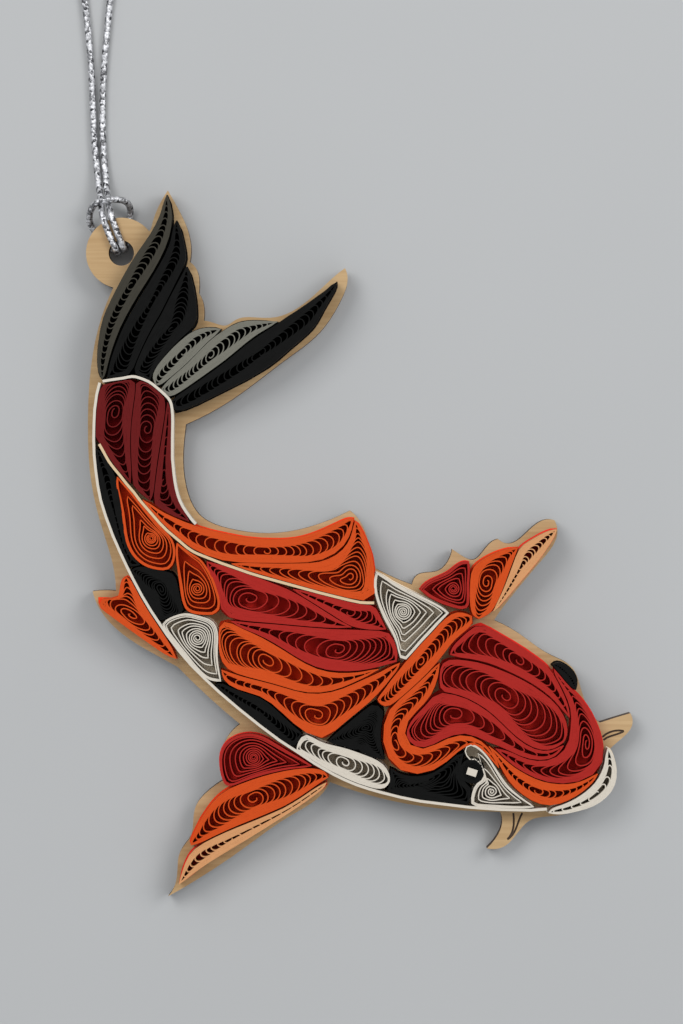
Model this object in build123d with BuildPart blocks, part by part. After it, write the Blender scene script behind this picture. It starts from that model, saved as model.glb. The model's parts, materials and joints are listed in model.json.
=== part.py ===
from build123d import *
import os
from dataclasses import dataclass
from math import asin, atan2, cos, degrees, hypot, pi, radians, sin, tan

# A quilled paper koi on a laser-cut wooden board, hung by a metallic cord.
# It lies on its back with its lug propped on the cord that passes beneath it.
# Lengths are in millimetres and angles in degrees.

os.makedirs("parts", exist_ok=True)

# Driving dimensions
board_length = 105.9  # tail tip to pelvic fin tip
board_thickness = 3.0
strip_height = 3.0  # quilling strips stand on edge on the board
paper = 0.16  # one layer of quilling strip
edging_layers = 2.5  # layers glued together in a white edging strip
coil_gap = 0.10  # between neighbouring coils
open_gap = 0.10  # narrowest space that is left open between two turns
lug_diameter = 10.6
lug_hole_diameter = 3.8
eye_diameter = 3.2
glint_length = 1.5
glint_width = 1.05
glint_thickness = 0.2
glint_turn = -18
engraving_width = 0.3
engraving_depth = 0.25
cord_diameter = 1.0
cord_clearance = 0.06  # between the cord and the board's back
knot_wraps = 3
knot_wrap = 0.95
knot_pitch = 0.85
knot_bore_clearance = 0.06
crease = 38  # an outline that turns more than this has a fold there
easy_bend = 7  # a stretch that turns less than this stays straight

# The outlines are drawn on a square template: x to the right, y down.
# This many squares make the board's length, and the centre square is the origin.
template_length = 706
template_centre = (360, 543.5)
square = board_length / template_length


def on_board(point):
    """A template point in the board's own plane, x right and y up."""
    return ((point[0] - template_centre[0]) * square, (template_centre[1] - point[1]) * square)


# Places on the template
lug_centre = (121.5, 253)
eye_centre = (471.5, 769.5)
glint_centre = (471.3, 770.5)

# The lug rests on the cord, so the board leans a little about its lower edge.
lowest_point = template_length / 2 * square
hole_height = on_board(lug_centre)[1] - lug_hole_diameter / 2
lean = degrees(asin((cord_diameter + cord_clearance) / (hole_height + lowest_point)))
board_back = Plane(
    origin=(0, 0, lowest_point * sin(radians(lean))),
    x_dir=(1, 0, 0),
    z_dir=(0, -sin(radians(lean)), cos(radians(lean))),
)
board_top = board_back.offset(board_thickness)
strip_top = board_top.offset(strip_height)


# Outlines

def turn_at(before, here, after):
    """How far a line turns at a point."""
    heading_in = atan2(here[1] - before[1], here[0] - before[0])
    heading_out = atan2(after[1] - here[1], after[0] - here[0])
    return abs((degrees(heading_out - heading_in) + 180) % 360 - 180)


def mid_point(before, start, end, after):
    """The middle of a smooth curve from start to end, by the four-point rule."""
    return tuple((9 * (p + q) - b - a) / 16 for b, p, q, a in zip(before, start, end, after))


def mirrored(pivot, point):
    return (2 * pivot[0] - point[0], 2 * pivot[1] - point[1])


def smooth(points, closed=True):
    """The points with one more on each curved stretch, and none beside a fold."""
    count = len(points)
    last = count if closed else count - 1
    refined = []
    for i in range(last):
        before, start, end, after = (points[(i + k) % count] for k in (-1, 0, 1, 2))
        first_end = not closed and i == 0
        last_end = not closed and i == last - 1
        bend_start = 0 if first_end else turn_at(before, start, end)
        bend_end = 0 if last_end else turn_at(start, end, after)
        if first_end or bend_start > crease:
            before = mirrored(start, end)
        if last_end or bend_end > crease:
            after = mirrored(end, start)
        refined.append(start)
        if easy_bend < bend_start < crease or easy_bend < bend_end < crease:
            refined.append(mid_point(before, start, end, after))
    if not closed:
        refined.append(points[-1])
    return refined


def along(edge, share):
    """The point at a share of an edge's length."""
    steps = [hypot(q[0] - p[0], q[1] - p[1]) for p, q in zip(edge, edge[1:])]
    left = share * sum(steps)
    for (p, q), step in zip(zip(edge, edge[1:]), steps):
        if left <= step:
            return (p[0] + (q[0] - p[0]) * left / step, p[1] + (q[1] - p[1]) * left / step)
        left -= step
    return edge[-1]


def inset(ring, distance):
    """A closed line moved inward by a distance."""
    following = ring[1:] + ring[:1]
    area = sum(p[0] * q[1] - q[0] * p[1] for p, q in zip(ring, following))
    inward = distance if area > 0 else -distance
    moved = []
    for before, here, after in zip(ring[-1:] + ring[:-1], ring, following):
        run_in = hypot(here[0] - before[0], here[1] - before[1])
        run_out = hypot(after[0] - here[0], after[1] - here[1])
        dx_in, dy_in = (here[0] - before[0]) / run_in, (here[1] - before[1]) / run_in
        dx_out, dy_out = (after[0] - here[0]) / run_out, (after[1] - here[1]) / run_out
        reach = inward / (1 + dx_in * dx_out + dy_in * dy_out)
        moved.append((here[0] - (dy_in + dy_out) * reach, here[1] + (dx_in + dx_out) * reach))
    return moved


def meet(a, b, c, d):
    """Whether the side from a to b crosses the side from c to d."""

    def half(p, q, r):
        return (q[0] - p[0]) * (r[1] - p[1]) - (q[1] - p[1]) * (r[0] - p[0])

    return half(a, b, c) * half(a, b, d) < 0 and half(c, d, a) * half(c, d, b) < 0


def crosses(ring):
    """Whether a closed line crosses itself."""
    sides = list(zip(ring, ring[1:] + ring[:1]))
    return any(meet(*side, *other) for i, side in enumerate(sides) for other in sides[i + 2:])


def shrunk(ring, size):
    """A closed line drawn smaller about its middle."""
    middle = [sum(p[k] for p in ring) / len(ring) for k in (0, 1)]
    return [tuple(m + (c - m) * size for m, c in zip(middle, p)) for p in ring]


def distance_between(ring, other):
    """The least distance between two closed lines, 0 where they cross."""
    sides, other_sides = zip(ring, ring[1:] + ring[:1]), list(zip(other, other[1:] + other[:1]))
    if any(meet(*side, *other_side) for side in sides for other_side in other_sides):
        return 0
    least = hypot(ring[0][0] - other[0][0], ring[0][1] - other[0][1])
    for points, line in ((ring, other), (other, ring)):
        for a, b in zip(line, line[1:] + line[:1]):
            dx, dy = b[0] - a[0], b[1] - a[1]
            for p in points:
                share = ((p[0] - a[0]) * dx + (p[1] - a[1]) * dy) / (dx * dx + dy * dy)
                share = min(1, max(0, share))
                least = min(least, hypot(p[0] - a[0] - dx * share, p[1] - a[1] - dy * share))
    return least


@dataclass
class Coil:
    """A strip rolled loosely and pinched: two edges that run from one tip to the other."""

    start: tuple
    one_edge: list
    end: tuple
    other_edge: list
    eye: float = 0.5  # share of the length at which the strip's inner end lies
    loops: tuple = (3, 3)  # open loops drawn before and after the eye
    turns: int = 7  # turns pressed together along each edge at the eye

    def edges(self):
        one = [self.start, *self.one_edge, self.end]
        other = [self.start, *self.other_edge, self.end]
        return [on_board(p) for p in one], [on_board(p) for p in other]

    def outline(self):
        one, other = self.edges()
        return smooth(one + other[-2:0:-1])

    def crescents(self):
        """The open spaces between the turns, where they part at each end of the coil."""
        one, other = self.edges()
        length = hypot(one[0][0] - one[-1][0], one[0][1] - one[-1][1])
        rim = self.outline()
        spaces = []
        for count, side in zip(self.loops, (0, 1)):
            reach = self.eye if side == 0 else 1 - self.eye
            for k in range(count):
                near_tip = (k + 0.75) / (count + 0.9)
                near_eye = (k + 1.55) / (count + 0.9)
                outer = self.arc(one, other, near_tip, reach, side, length)
                inner = self.arc(one, other, near_eye, reach, side, length)
                if not outer or not inner:
                    continue
                for size in (1, 0.86, 0.72, 0.58, 0.44):
                    space = shrunk(outer + inner[::-1], size)
                    room = min(distance_between(space, ring) for ring in [rim, *spaces])
                    if room > 1.25 * paper and not crosses(space):
                        spaces.append(space)
                        break
        return spaces

    def arc(self, one, other, depth, reach, side, length):
        """One turn's bend across the coil, at a depth from the tip (0) to the eye (1)."""
        share = depth * reach if side == 0 else 1 - depth * reach
        a, b = along(one, share), along(other, share)
        half_width = hypot(a[0] - b[0], a[1] - b[1]) / 2
        free = half_width - paper * self.turns * depth - paper
        if free < open_gap:
            return None
        bow = 0.8 * free / length
        points = []
        for across in (-1, -0.4, 0.4, 1):
            step = bow * across**2
            here = share + step if side == 0 else share - step
            a, b = along(one, here), along(other, here)
            width = hypot(a[0] - b[0], a[1] - b[1]) / 2
            lean_in = 0.5 + 0.5 * across * min(free, width - paper) / width
            points.append((b[0] + (a[0] - b[0]) * lean_in, b[1] + (a[1] - b[1]) * lean_in))
        return points


def write_part(part, name):
    part.label = name
    export_step(part, f"parts/{name}.step")


# Board: one sheet of wood, cut round the fish with bare barbels and a lug.
# Each run is a smooth stretch of the outline between two corners.
board_runs = [
    # tail, from its upper tip over the notches to the lower lobe's tip
    [(168, 190.5), (173, 199), (180, 212), (186.5, 226), (190.5, 241), (190, 262)],
    [(190, 262), (196, 268), (199.3, 279), (199, 293)],
    [(199, 293), (203.5, 303), (204.5, 312), (204, 320.5)],
    [(204, 320.5), (214, 322.8), (226, 325.3), (236, 319.6), (256, 317.3), (276, 317), (302, 305),
     (326, 284), (345, 268)],
    [(345, 268), (347.5, 276), (341, 300), (318, 334), (285, 360), (240, 394), (186, 424)],
    # peduncle and dorsal fin
    [(186, 424), (183.3, 452), (186, 486), (200, 515), (232, 529), (272, 533), (318, 524), (350, 510.3)],
    [(350, 510.3), (360, 521), (369, 543), (376, 568.5)],
    [(376, 568.5), (392, 576.5), (412, 584.5)],
    # pectoral fin
    [(412, 584.5), (420, 573.5), (438, 570.5), (448.5, 560), (452, 548.8)],
    [(452, 548.8), (461, 555), (473, 559.5), (485, 548.5), (498, 538.8)],
    [(498, 538.8), (510, 543.2), (530, 529), (554.5, 520)],
    [(554.5, 520), (557.5, 531), (540, 562), (510, 598), (494, 620)],
    # head, right barbel and lip
    [(494, 620), (520, 634), (551, 655), (571, 666), (580, 685), (600, 722.5)],
    [(600, 722.5), (614, 718), (630.5, 713)],
    [(630.5, 713), (632, 726), (620, 740), (610.5, 748.5)],
    [(610.5, 748.5), (613, 768), (607, 789), (586, 806), (556, 815.8), (530, 820.5), (508, 844), (487, 848.5)],
    # lower barbel and the lower edge of the head
    [(487, 848.5), (498, 835), (502.3, 820), (500, 811.8)],
    [(500, 811.8), (460, 810.3), (400, 802.5), (357, 791.5), (330, 782)],
    # pelvic fin
    [(330, 782), (321, 795), (290, 816), (240, 851), (198, 879), (168, 896.5)],
    [(168, 896.5), (177, 874), (180, 852), (190.5, 836), (195, 808), (208, 791), (223, 780.5)],
    [(223, 780.5), (220, 758), (228, 736), (240, 724)],
    # belly edge and the small fin
    [(240, 724), (212, 700), (178, 667)],
    [(178, 667), (138, 644.5), (106, 618), (92.5, 591)],
    [(92.5, 591), (104, 590), (116, 590.5)],
    [(116, 590.5), (113, 565), (101.5, 526), (90.5, 476), (88, 430), (92, 360), (103, 313), (121, 273),
     (151, 229)],
    [(151, 229), (158, 208), (168, 190.5)],
]
engravings = [
    [(602.5, 737), (609, 732.5), (616.5, 730.5), (624, 731)],
    [(603.5, 740), (611, 736), (618, 733.8), (624, 731)],
    [(513.5, 813), (514, 822), (512.3, 832), (507.5, 839.5)],
    [(522.5, 813), (518.5, 822), (515, 831), (507.5, 839.5)],
]

with BuildPart() as board:
    with BuildSketch(board_back):
        with BuildLine():
            for run in board_runs:
                Spline(*[on_board(p) for p in run])
        make_face()
        with Locations(on_board(lug_centre)):
            Circle(lug_diameter / 2)
            Circle(lug_hole_diameter / 2, mode=Mode.SUBTRACT)
    extrude(amount=board_thickness)
    for groove in engravings:
        with BuildSketch(board_top):
            with BuildLine():
                Spline(*[on_board(p) for p in groove])
            trace(line_width=engraving_width)
        extrude(amount=-engraving_depth, mode=Mode.SUBTRACT)
write_part(board.part, "board")

# Edging strips: white strips on edge that divide the fish's fields
edging_thickness = edging_layers * paper
edgings = {
    "belly_edging": [
        (101, 383), (98, 395), (96, 410), (95.3, 425), (95, 440), (95.5, 455), (97, 470), (99, 485),
        (102, 500), (107, 516), (114, 535), (121, 551), (128, 566), (135, 580), (143, 595), (152, 610),
        (160, 622), (168, 634), (180, 650), (192, 664), (205, 677), (220, 691), (240, 708), (260, 724),
        (280, 739), (297, 750), (315, 762), (334, 773), (356, 783), (380, 790.5), (400, 795.5),
        (420, 799.5), (440, 802), (470, 805.7), (500, 807.8), (530, 808.5), (546, 807.3),
    ],
    "dorsal_edging": [
        (100.5, 444), (105, 452), (110, 461), (116, 469), (121, 475), (128, 484), (135, 492), (141, 500),
        (147, 507), (154, 515), (161, 523), (168, 530), (175, 536), (181, 541), (188, 547), (195, 551.5),
        (203, 555), (212, 558.5), (222, 562.5), (235, 567), (249, 572), (262, 576), (280, 581),
        (300, 586.5), (320, 592), (340, 597), (360, 601.5), (374, 602),
    ],
    "tail_edging": [
        (104, 381.5), (113, 380), (124, 378.5), (133, 376.8), (140, 378), (150, 382), (158, 388),
        (166, 395), (171, 401), (173, 409), (173.6, 422), (173.3, 440), (173.3, 458), (174.7, 473),
        (177, 488), (181, 501), (187, 511.5), (192.5, 519), (196.5, 523.5),
    ],
}
for name, line in edgings.items():
    with BuildPart() as edging:
        with BuildSketch(board_top):
            with BuildLine():
                Polyline(*smooth([on_board(p) for p in line], closed=False))
            trace(line_width=edging_thickness)
        extrude(amount=strip_height)
    write_part(edging.part, name)

# Coils, field by field
tail = {
    "tail_left_grey": Coil(
        (168, 196),
        [(170, 205), (172, 216), (171.5, 228), (169, 239), (164, 252), (157, 266), (148, 280.5), (138, 296),
         (128, 313), (120, 329), (114, 344.5), (109, 361), (106, 374)],
        (103.5, 379),
        [(165, 206), (161, 219), (152, 236), (142, 250), (134, 262), (126.5, 275), (118.5, 290), (111.5, 304),
         (105.5, 318), (102, 332), (100, 346), (99.3, 360), (100.5, 372)],
        loops=(5, 6), turns=8,
    ),
    "tail_left_black": Coil(
        (177.5, 222),
        [(181, 232), (184, 245), (186, 259), (183, 269), (177, 281), (169, 297), (161, 313), (151, 330),
         (143, 346), (137, 360), (132, 373), (124, 375.5)],
        (109, 377.3),
        [(174.5, 231), (173, 241), (168, 254), (160.5, 268), (151, 284), (141, 300), (131, 317), (123.5, 332),
         (117.5, 347), (112.5, 362)],
        loops=(1, 1), turns=12,
    ),
    "tail_inner_black": Coil(
        (187.5, 268),
        [(190.5, 276), (193.5, 288), (195.5, 300), (196.5, 312), (196, 322), (192, 328.5), (185, 334.5),
         (177.5, 341.5), (170, 349.5), (162.5, 358.5), (156, 367), (152.5, 374)],
        (151, 379.5),
        [(184.5, 274), (179.5, 284), (171.5, 299), (163.5, 315), (153.7, 331.5), (145.5, 347.5), (139.5, 361),
         (135, 373), (140, 375), (146, 377.2)],
        loops=(1, 3), turns=10,
    ),
    "tail_right_silver": Coil(
        (157, 384.5),
        [(154.3, 377), (157.5, 369), (164, 360.5), (171.5, 352), (178.5, 345), (185.5, 339), (193, 333.5),
         (202, 330), (211, 329)],
        (221, 329.8),
        [(161, 384.3), (169, 378.5), (179.5, 369.8), (189.5, 360.6), (198.5, 351.5), (207, 342.5), (215, 335.8)],
        eye=0.48, loops=(3, 3), turns=6,
    ),
    "tail_right_grey": Coil(
        (163, 389.5),
        [(170, 381), (181, 371.6), (191, 362.4), (200, 353), (208.8, 344), (216.8, 337.3), (225, 331.8),
         (234, 326.2), (243, 323), (254, 322), (266, 322.4)],
        (278, 322.2),
        [(170.5, 396.5), (178.5, 392.5), (189, 385.5), (200.5, 377.5), (212.5, 369), (224.5, 360.3),
         (236.5, 350.5), (248.5, 340.5), (259, 333), (270, 326.7)],
        eye=0.45, loops=(4, 4), turns=9,
    ),
    "tail_right_black": Coil(
        (173.7, 401.5),
        [(179, 396.5), (189.5, 389.5), (201, 381.5), (213.5, 372.7), (225.5, 364), (237.5, 354.2),
         (249.5, 344.2), (260, 336.8), (271, 329.8), (280, 324.2), (289, 318), (298, 312.3), (308, 305.5),
         (318, 298.3), (328, 291)],
        (337, 282.5),
        [(176.5, 411.5), (186, 408.5), (198, 403.5), (210, 397.5), (222, 391.5), (234, 385.5), (246, 379.5),
         (258, 372.5), (268, 366.5), (278, 359), (288, 350), (297, 342.5), (305, 335.5), (313, 327.5),
         (319, 318), (324, 308.5), (329, 300), (334, 291)],
        loops=(2, 3), turns=12,
    ),
}
peduncle = {
    "peduncle_left": Coil(
        (119, 383.2),
        [(128, 381.3), (135.3, 381), (135.3, 392), (133.3, 406), (131.3, 422), (130.3, 440), (130.7, 456),
         (131.5, 470)],
        (131.7, 482.6),
        [(110, 385), (103.3, 386.3), (100.7, 396), (98.8, 410), (98, 425), (97.7, 438), (104.5, 446.8),
         (113, 459.8), (122, 471.8)],
        eye=0.36, loops=(4, 4), turns=8,
    ),
    "peduncle_middle": Coil(
        (150, 385.8),
        [(157, 391), (164.7, 398), (165.3, 410), (162.7, 428), (159.8, 446), (157.3, 462), (155.2, 478),
         (153.8, 491)],
        (151, 499.6),
        [(144, 382.7), (137.7, 381.7), (137.7, 393), (135.7, 407), (133.7, 423), (132.7, 440), (133.2, 455),
         (134, 470), (135, 484.5), (141.5, 491.5)],
        eye=0.42, loops=(5, 4), turns=8,
    ),
    "peduncle_right": Coil(
        (168.5, 401.5),
        [(170.5, 411), (171, 425), (171, 442), (171.2, 458), (172.5, 473), (174.8, 488), (179, 502),
         (185, 512.5)],
        (190.3, 521),
        [(167.7, 412), (165.2, 430), (162.2, 448), (159.7, 464), (157.6, 480), (156.2, 492), (155.2, 502.8),
         (165, 509.5), (176, 515.3)],
        eye=0.6, loops=(2, 2), turns=6,
    ),
}
dorsal_fin = {
    "dorsal_fin_long": Coil(
        (142.5, 498.5),
        [(150.5, 503.8), (158, 509.2), (167, 514.4), (178, 519.2), (189, 523.8), (200, 527.5), (212, 531),
         (228, 534.5), (246, 538), (262, 539.5), (280, 539.8), (296, 538.5), (310, 535), (324, 529.5),
         (337, 523.5), (346, 519.5)],
        (352.8, 518.5),
        [(149.3, 506), (156.3, 513.8), (163, 521.2), (170, 528), (177, 534.2), (189.5, 544.6), (204, 552.4),
         (216, 556.7), (230, 560), (245, 561), (262, 561.3), (280, 561.3), (298, 561.2), (314, 560.2),
         (326, 556.5), (336, 551), (343.5, 544), (348.5, 535.5), (351.5, 526)],
        eye=0.58, loops=(4, 5), turns=7,
    ),
    "dorsal_fin_corner": Coil(
        (231, 562.8),
        [(246, 563), (264, 563.6), (282, 563.8), (300, 563.6), (316, 562.8), (328, 559.5), (338.5, 553.8),
         (346, 546.5), (351.3, 537), (354, 527)],
        (355, 521.5),
        [(244, 567.4), (262, 572.8), (280, 578), (300, 583.5), (320, 589), (340, 594), (358, 598.2),
         (371, 598.8), (373.8, 594), (373.8, 580), (373, 568), (371, 555), (367, 543.5), (362.5, 533),
         (358.5, 526)],
        eye=0.66, loops=(5, 4), turns=6,
    ),
}
flank = {
    "flank_teardrop_upper": Coil(
        (118.5, 477),
        [(126, 486), (133, 494), (139, 501.8), (145, 509), (152, 517), (159, 525), (166, 532.2), (171, 537.5),
         (174.3, 545), (175, 554), (173.3, 562), (170, 567)],
        (164, 568.3),
        [(118.7, 485), (121.5, 497), (124, 510), (125.5, 524), (127.5, 538), (131.5, 549), (138, 558),
         (147, 564.5), (156, 567.3)],
        eye=0.6, loops=(3, 3), turns=4,
    ),
    "flank_teardrop_lower": Coil(
        (178, 543),
        [(185, 549), (192, 554), (199.5, 558.5), (205, 565), (210.5, 574), (214.5, 583), (217.5, 592.5),
         (219.5, 602), (218.5, 608.5)],
        (213, 612.3),
        [(177.7, 552), (178.7, 563), (180.7, 577), (182.5, 590), (184.3, 600), (187.5, 608), (194, 611.4),
         (204, 612.5)],
        eye=0.58, loops=(3, 3), turns=5,
    ),
    "orange_flank_upper": Coil(
        (220.3, 640),
        [(220.3, 630), (222, 622.5), (228, 621), (235, 624.8), (245, 629.8), (258, 635.3), (270, 642),
         (282, 649), (294, 656.8), (306, 663.8), (318, 669), (331, 672), (345, 672.8), (360, 671.8),
         (372, 669.3)],
        (380, 667.5),
        [(220.8, 650), (224, 661), (230, 668), (240, 672.3), (251, 675.5), (263, 678.6), (276, 682),
         (288, 685.8), (300, 689), (312, 690.6), (326, 689.8), (340, 686), (353, 680.5), (366, 674.5)],
        eye=0.36, loops=(5, 5), turns=6,
    ),
    "orange_flank_lower": Coil(
        (222.5, 669),
        [(229, 671.8), (240, 675.5), (251, 678.5), (263, 681.4), (276, 684.8), (288, 688.6), (300, 691.8),
         (312, 693.5), (327, 692.6), (341, 689), (354.5, 683.4), (368, 677.2), (381, 671.5), (391, 666)],
        (399.3, 662),
        [(224.5, 677.3), (232, 684.3), (244, 689), (256, 692.2), (266, 696.8), (276.5, 704.5), (286.5, 714),
         (296, 722.6), (304.5, 729), (312, 733), (319.5, 735.6), (326, 735), (333, 730), (342, 722),
         (352, 713.8), (362, 705.8), (371, 698), (377, 692), (384, 684), (391, 675), (397, 667.5)],
        eye=0.52, loops=(4, 4), turns=6,
    ),
}
red_back = {
    "red_back_left": Coil(
        (208, 561.2),
        [(222, 565.3), (235, 569.8), (249, 574.8), (260, 578.3), (272, 583), (286, 588.5), (300, 595.8),
         (314, 604.5), (329, 614), (341, 621.5)],
        (352, 626.3),
        [(208.7, 567.5), (213, 575), (217, 583.5), (220, 593), (222, 602.5), (222.7, 609), (228, 614.3),
         (237, 617.6), (250, 619.4), (268, 620.8), (290, 622.8), (312, 624.8), (334, 626.3)],
        eye=0.36, loops=(3, 4), turns=7,
    ),
    "red_back_right": Coil(
        (292.5, 588),
        [(306, 591), (320, 594.8), (340, 599.8), (358, 604), (373.5, 605.3), (377.5, 612), (382, 621)],
        (385.5, 628),
        [(301, 593.3), (315.5, 602.3), (330.5, 611.8), (342.5, 619.3), (353, 624.8), (370, 627.8)],
        eye=0.58, loops=(3, 4), turns=4,
    ),
    "red_back_lower": Coil(
        (231, 619.8),
        [(242, 621.6), (254, 622.8), (270, 623.8), (290, 625.6), (312, 627.6), (334, 629.2), (352, 629.5),
         (372, 630.4), (386.5, 631), (391.3, 636.5), (395, 645), (396.5, 653.5)],
        (395.5, 660),
        [(242, 626), (256, 631.6), (270, 638.3), (282, 645.5), (294, 653.3), (306, 660.2), (318, 665.4),
         (330, 668.3), (345, 669.2), (360, 668.3), (375, 665.5), (387, 662.3)],
        eye=0.62, loops=(5, 5), turns=7,
    ),
}
white_fields = {
    "white_side": Coil(
        (164.5, 623.5),
        [(168, 619.5), (175, 616.3), (182, 614), (189, 613.6), (198, 615.8), (206, 618), (212.5, 621.3),
         (216.5, 628), (217.5, 637), (217, 647), (217, 657), (218.2, 667), (219.6, 674)],
        (221, 679.5),
        [(166.3, 628), (171.7, 635.5), (181.7, 648.5), (193.2, 662), (203, 672.3), (211, 677.8)],
        eye=0.5, loops=(3, 3), turns=3,
    ),
    "white_shoulder": Coil(
        (376.3, 572),
        [(383, 576.3), (392, 582.2), (402, 587.3), (412, 592.2), (422, 597.2), (432, 602.2), (441, 607.2)],
        (447.3, 612),
        [(375, 580), (375.3, 589), (377.3, 598), (380.8, 608), (385.5, 618.5), (390.8, 628), (395.5, 637),
         (398.3, 646), (400, 655), (403.5, 659.5), (411.8, 650), (420.5, 640), (430, 630), (438, 621)],
        eye=0.46, loops=(3, 4), turns=3,
    ),
    "white_belly": Coil(
        (297.5, 748),
        [(299, 741.5), (302.5, 736), (306.5, 733.7), (313, 737), (321, 741.5), (331, 744.3), (341, 746.6),
         (351, 749.4), (361, 753.2), (371, 756.8), (379, 761), (385, 766.7), (388.4, 773.5)],
        (388.5, 780),
        [(307, 754), (316.5, 760), (326, 765.7), (336, 771), (346.5, 776), (357, 780.4), (368, 784),
         (378, 786.5), (384.7, 785.3)],
        eye=0.5, loops=(4, 4), turns=6,
    ),
    "white_cheek": Coil(
        (469.5, 757.3),
        [(465.7, 752.5), (465, 747.5), (467.5, 744.8), (472, 744), (477.3, 746.6), (484, 752.8), (490.5, 761.5),
         (496.5, 771), (502, 779.2), (507.5, 786), (515, 792.8), (523.5, 799.3), (529.5, 803)],
        (533, 805.3),
        [(474, 757), (478.5, 759.5), (482.5, 765), (484.3, 772), (483.5, 778.5), (477.5, 782), (474, 787.5),
         (472, 795), (471.5, 801.3), (474.5, 803.3), (490, 804.8), (510, 805.3), (523, 805.5)],
        eye=0.6, loops=(2, 3), turns=2,
    ),
    "white_lip": Coil(
        (606.5, 747.5),
        [(610, 752), (613, 760.5), (614.8, 771), (613.5, 781.5), (609, 790.3), (602, 797.3), (593.5, 803),
         (583, 807), (571, 810), (559, 811.8)],
        (547.8, 811),
        [(605, 755), (604, 763), (600.8, 771.8), (594.5, 782), (585, 791), (574, 798.3), (562.5, 803.7),
         (553, 806.8)],
        eye=0.5, loops=(3, 3), turns=2,
    ),
}
black_fields = {
    "black_wedge": Coil(
        (98, 449),
        [(103, 454), (108, 463), (113.6, 471.2), (116.3, 479), (118.5, 490), (121, 503), (123, 517),
         (124.2, 530), (126.2, 542), (130.7, 552.5), (137, 560.7)],
        (141, 564),
        [(98.3, 460), (99.5, 470), (101.5, 484.6), (104.5, 499.4), (109.4, 515.3), (116.4, 534.2),
         (123.3, 549.8), (131, 565.8)],
        loops=(1, 1), turns=6,
    ),
    "black_side": Coil(
        (132.7, 569.5),
        [(140, 566.8), (147, 567.2), (155, 569.8), (163, 571.2), (171, 572.5), (175.3, 576.5), (177.8, 585),
         (179.8, 595), (181.8, 603.5), (184, 609.7)],
        (175.5, 613),
        [(137.5, 578.8), (145.4, 593.8), (154.4, 608.8), (161.7, 619.3), (167.5, 616.2)],
        loops=(2, 2), turns=6,
    ),
    "black_belly": Coil(
        (216.8, 683),
        [(224, 683.7), (233, 688), (245, 692.3), (256, 695.7), (265, 700.3), (275, 708.3), (285, 717.8),
         (294, 726), (299.5, 730.5)],
        (301, 732.7),
        [(221.5, 688.6), (241.7, 705.8), (261.6, 721.8), (281.6, 736.8), (291.8, 743.7), (295.3, 743.5),
         (297.5, 738.5)],
        loops=(2, 2), turns=8,
    ),
    "black_saddle": Coil(
        (328.5, 739.8),
        [(336.5, 732.8), (346.5, 724.5), (356.5, 716.2), (366.5, 708.2), (375.5, 701.8), (380.5, 705),
         (382.5, 711.5), (380.3, 722.5), (379.3, 735), (380.8, 747)],
        (383.5, 757.5),
        [(335.5, 742), (346, 744.6), (356, 748), (366, 751.6), (375, 755.4)],
        loops=(2, 1), turns=8,
    ),
    "black_cheek": Coil(
        (390.7, 767),
        [(397, 771.8), (406, 775), (418, 775.7), (430, 773.5), (441, 767.8), (450, 760.5), (457, 754),
         (462.3, 749.5), (463.5, 755.5), (459.5, 761), (458.5, 769), (460.7, 777), (465.5, 782.8),
         (469.7, 786.5), (468.8, 794)],
        (467.5, 801.5),
        [(391.3, 776), (389.7, 785), (386.7, 788.8), (400, 792.4), (420, 796.5), (440, 799), (455, 801)],
        eye=0.4, loops=(2, 1), turns=10,
    ),
}
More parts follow.
